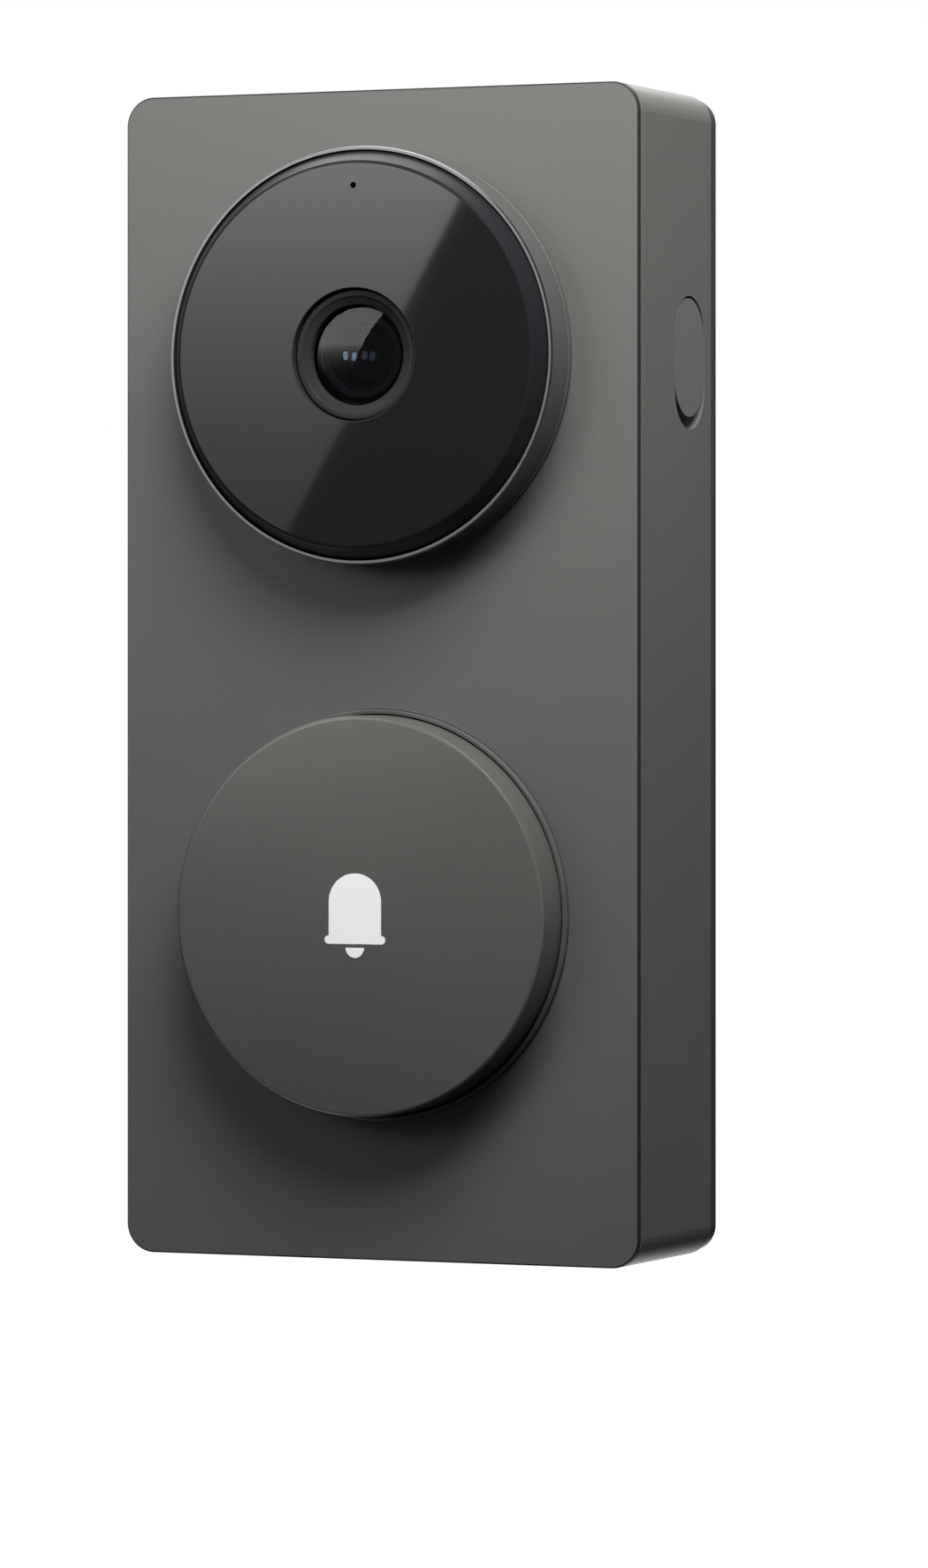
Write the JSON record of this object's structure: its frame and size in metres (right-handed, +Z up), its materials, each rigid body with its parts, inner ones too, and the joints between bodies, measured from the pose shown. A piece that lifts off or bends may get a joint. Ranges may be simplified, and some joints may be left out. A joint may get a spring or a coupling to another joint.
{
  "type": "video doorbell",
  "caption": "Upright rounded wall doorbell with a raised round camera above a large raised push button, on a lift-off wall plate.",
  "frame": {"origin": "centre of the two wall screws, on the wall plane", "axes": "+Z up, +Y into the wall, front faces -Y, +X to the visitor's right"},
  "size_m": [0.067, 0.033, 0.14],
  "materials": {
    "graphite_paint": "matt graphite paint over moulded plastic",
    "graphite_aluminium": "bead-blasted, anodised graphite",
    "bezel_metal": "bead-blasted with a diamond-cut rim",
    "black_plastic": "black, fine grain",
    "smoked_cover": "polished, infrared-clear black",
    "silicone": "matt grey silicone",
    "black_rubber": "soft black",
    "adhesive": "closed-cell tape",
    "lens_glass": "coated optical glass",
    "filter_glass": "infrared filter",
    "diffuser": "milky translucent",
    "sign_white": "light grey inlay",
    "spring_steel": "rolled strip",
    "screw_steel": "zinc plated",
    "brass": "nickel-free brass",
    "magnet": "nickel plated",
    "board": "green solder mask",
    "chip_black": "moulded package",
    "can_steel": "tinned sheet",
    "led_resin": "clear resin",
    "flex_film": "amber polyimide",
    "foil": "laminated pouch foil",
    "wire_red": "PVC insulation",
    "reed_glass": "sealed glass tube",
    "switch_plastic": "switch body",
    "white_plastic": "acetal"
  },
  "bodies": {
    "wall_mount": {"wall_plate": "black_plastic", "latch_spring": "spring_steel", "tamper_magnet": "magnet"},
    "doorbell": {"housing": "graphite_paint", "front_frame": "black_plastic", "front_plate": "graphite_aluminium", "housing_seal": "black_rubber", "case_screws": "screw_steel", "camera_bezel": "bezel_metal", "camera_cover": "smoked_cover", "cover_seal": "adhesive", "camera_cup": "black_plastic", "camera_screws": "screw_steel", "lens_ring": "black_plastic", "front_lens": "lens_glass", "lens_barrel": "black_plastic", "inner_lenses": "lens_glass", "sensor_board": "board", "image_sensor": "chip_black", "ir_filter": "filter_glass", "lens_mount": "black_plastic", "ir_led_board": "board", "ir_leds": "led_resin", "light_sensor": "chip_black", "microphone": "can_steel", "mic_gasket": "black_rubber", "camera_ribbon": "flex_film", "ribbon_connectors": "black_plastic", "light_ring": "diffuser", "button_membrane": "black_rubber", "button_board": "board", "button_screws": "screw_steel", "ring_leds": "led_resin", "tact_switch": "switch_plastic", "main_board": "board", "board_screws": "screw_steel", "shield_cans": "can_steel", "main_chips": "chip_black", "battery_pack": "foil", "battery_pad": "adhesive", "battery_plug": "black_plastic", "battery_lead": "wire_red", "speaker": "black_plastic", "speaker_mesh": "spring_steel", "wifi_antenna": "flex_film", "reed_switch": "reed_glass", "terminal_block": "black_plastic", "terminal_screws": "brass", "port_board": "board", "usb_socket": "can_steel", "reset_switch": "switch_plastic"},
    "button": {"button_cap": "graphite_paint", "bell_icon": "sign_white", "button_carrier": "white_plastic", "button_clips": "spring_steel"},
    "switch_plunger": {"switch_plunger": "white_plastic"},
    "port_cover": {"port_cover": "silicone"},
    "reset_button": {"reset_button": "white_plastic"}
  },
  "joints": [
    {"name": "lift_off", "type": "slide", "parent": "wall_mount", "child": "doorbell", "axis": [0, -0.7071, 0.7071], "range_m": [0, 0.045], "deforming": ["latch_spring"]},
    {"name": "button_press", "type": "slide", "parent": "doorbell", "child": "button", "axis": [0, 1, 0], "range_m": [0, 0.0006], "stiffness_N_per_m": 800, "deforming": ["button_membrane"]},
    {"name": "switch_press", "type": "slide", "parent": "doorbell", "child": "switch_plunger", "axis": [0, 1, 0], "range_m": [0, 0.0006]},
    {"name": "port_cover_hinge", "type": "hinge", "parent": "doorbell", "child": "port_cover", "pos_m": [0.0335, -0.00935, 0.0451], "axis": [0, -1, 0], "range_deg": [0, 110], "stiffness_Nm_per_rad": 0.002},
    {"name": "reset_press", "type": "slide", "parent": "doorbell", "child": "reset_button", "axis": [-1, 0, 0], "range_m": [0, 0.0003], "stiffness_N_per_m": 500}
  ],
  "couplings": [
    {"joint": "switch_press", "follows": "button_press", "ratio": 1}
  ]
}
